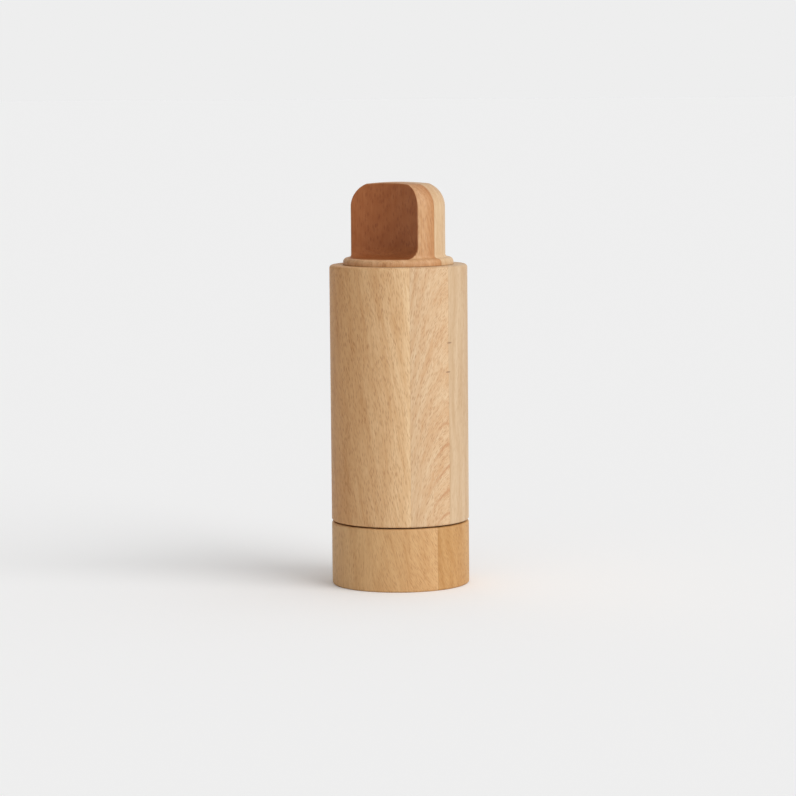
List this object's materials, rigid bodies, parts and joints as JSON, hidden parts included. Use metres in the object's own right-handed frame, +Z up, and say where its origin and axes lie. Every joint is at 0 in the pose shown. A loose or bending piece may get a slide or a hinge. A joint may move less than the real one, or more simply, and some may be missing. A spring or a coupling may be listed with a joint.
{
  "type": "wooden spice mill",
  "caption": "Turned beech spice mill: winged knob, round barrel and a separate base ring that sets the grind of a ceramic burr.",
  "frame": {"origin": "centre of the underside of the base ring, on the surface the mill stands on", "axes": "+Z up along the mill's axis, +X along the wing of the knob, +Y completes the right-handed frame"},
  "size_m": [0.058, 0.058, 0.1695],
  "materials": {
    "beech_barrel": "oiled satin beech",
    "beech_base": "oiled satin beech",
    "beech_knob": "oiled satin beech",
    "dark_nylon": "moulded nylon",
    "pale_nylon": "moulded nylon",
    "ceramic": "fired white ceramic",
    "steel": "stainless steel",
    "silicone": "translucent white silicone"
  },
  "bodies": {
    "barrel": {"barrel": "beech_barrel", "grinder_housing": "dark_nylon", "housing_screws": "steel", "outer_burr": "ceramic", "burr_retainer": "pale_nylon", "shaft_bridge": "pale_nylon", "selector_snap_ring": "steel"},
    "selector": {"base_ring": "beech_base", "selector_cup": "pale_nylon", "selector_screws": "steel"},
    "carrier": {"thrust_carrier": "pale_nylon", "thrust_pad": "steel"},
    "drive": {"shaft": "steel", "shaft_collar": "dark_nylon", "shaft_clip": "steel", "burr_spring": "steel"},
    "burr": {"burr_core": "dark_nylon", "inner_burr": "ceramic", "spring_washer": "steel"},
    "knob": {"knob": "beech_knob", "knob_socket": "dark_nylon", "socket_screws": "steel", "knob_o_ring": "silicone"}
  },
  "joints": [
    {"name": "grind_turn", "type": "hinge", "parent": "barrel", "child": "drive", "pos_m": [0, 0, 0.042], "axis": [0, 0, 1], "continuous": true},
    {"name": "knob_lift", "type": "slide", "parent": "drive", "child": "knob", "axis": [0, 0, 1], "range_m": [0, 0.04]},
    {"name": "selector_turn", "type": "hinge", "parent": "barrel", "child": "selector", "pos_m": [0, 0, 0.015], "axis": [0, 0, 1], "range_deg": [0, 120]},
    {"name": "carrier_travel", "type": "slide", "parent": "barrel", "child": "carrier", "axis": [0, 0, 1], "range_m": [-0.0015, 0]},
    {"name": "burr_travel", "type": "slide", "parent": "drive", "child": "burr", "axis": [0, 0, 1], "range_m": [-0.0015, 0], "deforming": ["burr_spring"]}
  ],
  "couplings": [
    {"joint": "carrier_travel", "follows": "selector_turn", "m_per_rad": -0.000716},
    {"joint": "burr_travel", "follows": "selector_turn", "m_per_rad": -0.000716}
  ]
}
